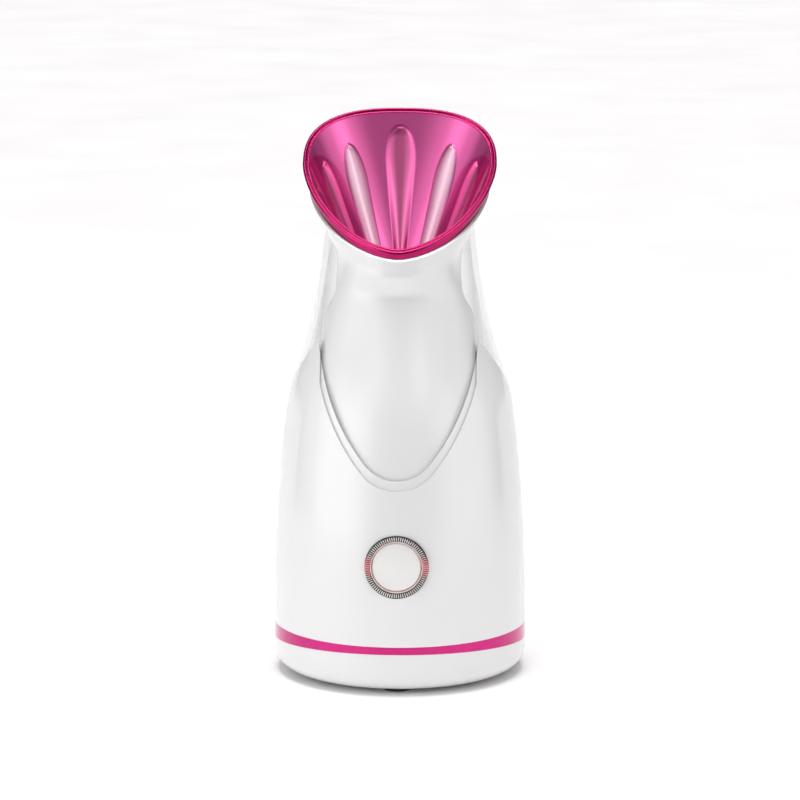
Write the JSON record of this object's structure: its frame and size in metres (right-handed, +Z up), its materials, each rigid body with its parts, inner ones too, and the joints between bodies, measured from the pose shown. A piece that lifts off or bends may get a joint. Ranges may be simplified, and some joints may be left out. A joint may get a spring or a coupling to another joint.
{
  "type": "facial steamer",
  "caption": "Upright facial steamer: white vase-shaped housing, petal-fluted magenta steam scoop, lift-off rear water tank, round power button.",
  "frame": {"origin": "on the surface it stands on, under the middle of the housing", "axes": "+Z up, -Y towards the user (scoop and button side), +X to the right seen from the front"},
  "size_m": [0.1122, 0.1122, 0.2492],
  "materials": {
    "white_gloss": "polished pearl-white ABS",
    "white_inner": "plain moulded ABS",
    "magenta_metallised": "metallised magenta plastic, glossy",
    "clear_tank": "clear plastic, faintly frosted",
    "dark_chrome": "dark chrome with fine radial ribs",
    "button_white": "warm white, satin gloss",
    "light_pink": "milky diffuser",
    "dark_rubber": "matt rubber",
    "silicone": "translucent silicone",
    "steel": "zinc-plated steel",
    "boiler_alloy": "die-cast aluminium",
    "brass": "plain brass",
    "board_green": "solder-masked laminate",
    "dark_plastic": "moulded black nylon",
    "wire_blue": "PVC insulation",
    "wire_red": "silicone insulation"
  },
  "bodies": {
    "housing": {"body_shell": "white_gloss", "base_cover": "white_gloss", "trim_ring": "magenta_metallised", "foot_pads": "dark_rubber", "base_screws": "steel", "shell_screws": "steel", "deck_screws": "steel", "neck_cover": "white_gloss", "neck_back": "white_gloss", "nozzle_scoop": "magenta_metallised", "steam_outlet": "white_inner", "outlet_gasket": "silicone", "tank_deck": "white_inner", "valve_post": "white_inner", "socket_seal": "silicone", "button_ring": "dark_chrome", "light_guide": "light_pink", "tact_switch": "dark_plastic", "boiler_cup": "boiler_alloy", "boiler_seal": "silicone", "boiler_lid": "boiler_alloy", "boiler_screws": "steel", "steam_tube": "silicone", "ptc_heater": "boiler_alloy", "heater_clamp": "steel", "thermostat": "dark_plastic", "thermal_fuse": "steel", "inlet_hose": "silicone", "hose_clips": "steel", "inner_chassis": "white_inner", "control_board": "board_green", "board_parts": "dark_plastic", "board_screws": "steel", "ioniser_module": "dark_plastic", "ioniser_needle": "steel", "power_inlet": "dark_plastic", "inlet_pins": "brass", "mains_wires": "wire_blue", "heater_wires": "wire_red"},
    "power_button": {"button_cap": "button_white", "switch_plunger": "dark_plastic"},
    "water_tank": {"tank_shell": "clear_tank"},
    "tank_cap_body": {"tank_cap": "white_inner", "cap_seal": "silicone", "valve_spring": "steel"},
    "tank_valve": {"valve_stem": "white_inner", "valve_seal": "silicone"}
  },
  "joints": [
    {"name": "button_press", "type": "slide", "parent": "housing", "child": "power_button", "axis": [0, 1, 0], "range_m": [0, 0.0008], "stiffness_N_per_m": 900, "springref_m": -0.0006},
    {"name": "tank_lift", "type": "slide", "parent": "housing", "child": "water_tank", "axis": [0, 0.5, 0.866], "range_m": [0, 0.1]},
    {"name": "cap_turn", "type": "hinge", "parent": "water_tank", "child": "tank_cap_body", "pos_m": [0, 0.02, 0.115], "axis": [0, 0.5, 0.866], "range_deg": [0, 60]},
    {"name": "valve_slide", "type": "slide", "parent": "tank_cap_body", "child": "tank_valve", "axis": [0, 0.5, 0.866], "range_m": [-0.0019, 0]}
  ],
  "couplings": [
    {"joint": "valve_slide", "follows": "tank_lift", "ratio": -0.019}
  ]
}
